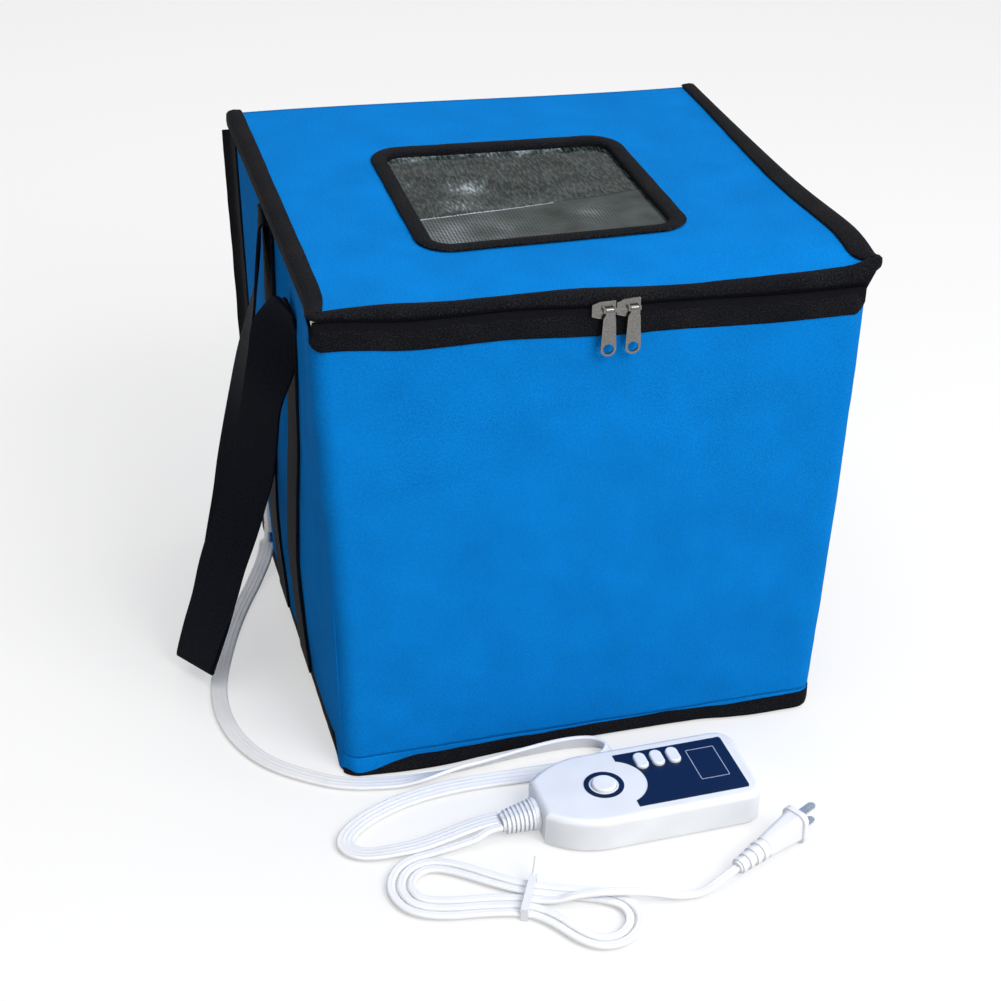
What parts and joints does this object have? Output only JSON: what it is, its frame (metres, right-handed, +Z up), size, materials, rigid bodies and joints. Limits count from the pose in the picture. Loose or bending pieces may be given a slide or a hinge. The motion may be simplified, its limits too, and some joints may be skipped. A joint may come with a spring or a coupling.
{
  "type": "folding dough proofer",
  "caption": "Soft insulated box with gusseted sides, a zipped lid with a clear window, webbing handles, a lifting heated floor and a wired push-button controller.",
  "frame": {"origin": "on the floor, under the middle of the box", "axes": "+Z up, +Y towards the back wall, so the front wall faces -Y; +X to the right seen from the front"},
  "size_m": [0.5348, 0.565, 0.3619],
  "materials": {
    "blue_cloth": "woven",
    "black_binding": "ribbed tape",
    "foil_foam": "foil face",
    "webbing": "webbing",
    "zip_tape": "tape with coil",
    "nickel": "polished",
    "clear_film": "clear",
    "white_plastic": "semi gloss",
    "navy_panel": "gloss",
    "display_glass": "gloss",
    "button_white": "semi gloss",
    "green_board": "matte",
    "electronics": "matte",
    "screw_steel": "plain",
    "white_cord": "matte",
    "white_rubber": "matte",
    "tie_plastic": "matte",
    "blade_metal": "plain",
    "board_plastic": "matte",
    "mat_foil": "foil",
    "mat_wire": "matte",
    "gland_rubber": "matte"
  },
  "bodies": {
    "base": {"base_tray": "black_binding", "back_cover": "blue_cloth", "back_lining": "foil_foam", "rear_corner_left": "black_binding", "rear_corner_right": "black_binding", "controller_bottom_shell": "white_plastic", "controller_top_shell": "white_plastic", "control_panel": "navy_panel", "display_module": "display_glass", "circuit_board": "green_board", "board_parts": "electronics", "shell_screws": "screw_steel", "strain_relief": "white_rubber", "ribbon_cord": "white_cord", "mains_lead_near": "white_cord", "mains_hank": "white_cord", "mains_lead_far": "white_cord", "twist_tie": "tie_plastic", "plug_body": "white_rubber", "plug_blades": "blade_metal"},
    "left_rear_panel": {"left_rear_cover": "blue_cloth", "left_rear_lining": "foil_foam", "left_rear_strap": "webbing", "cable_gland": "gland_rubber", "gland_nut": "gland_rubber"},
    "left_front_panel": {"left_front_cover": "blue_cloth", "left_front_lining": "foil_foam", "left_front_strap": "webbing"},
    "right_rear_panel": {"right_rear_cover": "blue_cloth", "right_rear_lining": "foil_foam", "right_rear_strap": "webbing"},
    "right_front_panel": {"right_front_cover": "blue_cloth", "right_front_lining": "foil_foam", "right_front_strap": "webbing"},
    "front_panel": {"front_cover": "blue_cloth", "front_lining": "foil_foam", "lower_zip_tape": "zip_tape"},
    "floor": {"floor_board": "board_plastic", "heating_mat": "mat_foil", "heating_wire": "mat_wire", "temperature_sensor": "electronics", "mat_lead": "white_cord"},
    "lid": {"lid_cover": "blue_cloth", "lid_lining": "foil_foam", "lid_binding": "black_binding", "window_film": "clear_film", "window_binding": "black_binding", "upper_zip_tape": "zip_tape"},
    "left_slider_body": {"left_slider": "nickel"},
    "right_slider_body": {"right_slider": "nickel"},
    "left_pull_body": {"left_pull": "nickel"},
    "right_pull_body": {"right_pull": "nickel"},
    "left_handle": {"left_handle_loop": "webbing"},
    "right_handle": {"right_handle_loop": "webbing"},
    "power_button_body": {"power_button": "button_white"},
    "mode_button_body": {"mode_button": "button_white"},
    "minus_button_body": {"minus_button": "button_white"},
    "plus_button_body": {"plus_button": "button_white"}
  },
  "joints": [
    {"name": "left_rear_fold", "type": "hinge", "parent": "base", "child": "left_rear_panel", "pos_m": [-0.17248, 0.152, 0.18], "axis": [-0.0249, 0, 0.9997], "range_deg": [0, 90], "deforming": ["left_handle_loop", "right_handle_loop", "mat_lead", "ribbon_cord", "base_tray"]},
    {"name": "left_front_fold", "type": "hinge", "parent": "left_rear_panel", "child": "left_front_panel", "pos_m": [-0.18368, -0.00735, 0.18], "axis": [-0.0249, 0, 0.9997], "range_deg": [-180, 0]},
    {"name": "front_fold", "type": "hinge", "parent": "left_front_panel", "child": "front_panel", "pos_m": [-0.17248, -0.1667, 0.18], "axis": [-0.0249, 0, 0.9997], "range_deg": [0, 90]},
    {"name": "right_rear_fold", "type": "hinge", "parent": "base", "child": "right_rear_panel", "pos_m": [0.17248, 0.152, 0.18], "axis": [0.0249, 0, 0.9997], "range_deg": [-90, 0]},
    {"name": "right_front_fold", "type": "hinge", "parent": "right_rear_panel", "child": "right_front_panel", "pos_m": [0.18368, -0.00735, 0.18], "axis": [0.0249, 0, 0.9997], "range_deg": [0, 180]},
    {"name": "floor_lift", "type": "hinge", "parent": "base", "child": "floor", "pos_m": [0, 0.1667, 0.0133], "axis": [-1, 0, 0], "range_deg": [0, 90], "deforming": ["mat_lead"]},
    {"name": "lid_open", "type": "hinge", "parent": "base", "child": "lid", "pos_m": [0, 0.1753, 0.3545], "axis": [-1, 0, 0], "range_deg": [0, 180]},
    {"name": "left_slider_slide", "type": "slide", "parent": "lid", "child": "left_slider_body", "axis": [-1, 0, 0], "range_m": [0, 0.15]},
    {"name": "right_slider_slide", "type": "slide", "parent": "lid", "child": "right_slider_body", "axis": [1, 0, 0], "range_m": [0, 0.15]},
    {"name": "left_pull_swing", "type": "hinge", "parent": "left_slider_body", "child": "left_pull_body", "pos_m": [0.0033, -0.1814, 0.348], "axis": [-1, 0, 0], "range_deg": [0, 150]},
    {"name": "right_pull_swing", "type": "hinge", "parent": "right_slider_body", "child": "right_pull_body", "pos_m": [0.02, -0.1814, 0.348], "axis": [-1, 0, 0], "range_deg": [0, 150]},
    {"name": "left_handle_swing", "type": "hinge", "parent": "left_rear_panel", "child": "left_handle", "pos_m": [-0.19, 0, 0.322], "axis": [0, 1, 0], "range_deg": [-12, 163]},
    {"name": "right_handle_swing", "type": "hinge", "parent": "right_rear_panel", "child": "right_handle", "pos_m": [0.19, 0, 0.322], "axis": [0, -1, 0], "range_deg": [-12, 163]},
    {"name": "power_button_press", "type": "slide", "parent": "base", "child": "power_button_body", "axis": [0, 0, -1], "range_m": [0, 0.001], "stiffness_N_per_m": 800},
    {"name": "mode_button_press", "type": "slide", "parent": "base", "child": "mode_button_body", "axis": [0, 0, -1], "range_m": [0, 0.001], "stiffness_N_per_m": 800},
    {"name": "minus_button_press", "type": "slide", "parent": "base", "child": "minus_button_body", "axis": [0, 0, -1], "range_m": [0, 0.001], "stiffness_N_per_m": 800},
    {"name": "plus_button_press", "type": "slide", "parent": "base", "child": "plus_button_body", "axis": [0, 0, -1], "range_m": [0, 0.001], "stiffness_N_per_m": 800}
  ],
  "couplings": [
    {"joint": "left_front_fold", "follows": "left_rear_fold", "ratio": -2},
    {"joint": "front_fold", "follows": "left_rear_fold", "ratio": 1},
    {"joint": "right_rear_fold", "follows": "left_rear_fold", "ratio": -1},
    {"joint": "right_front_fold", "follows": "left_rear_fold", "ratio": 2}
  ]
}
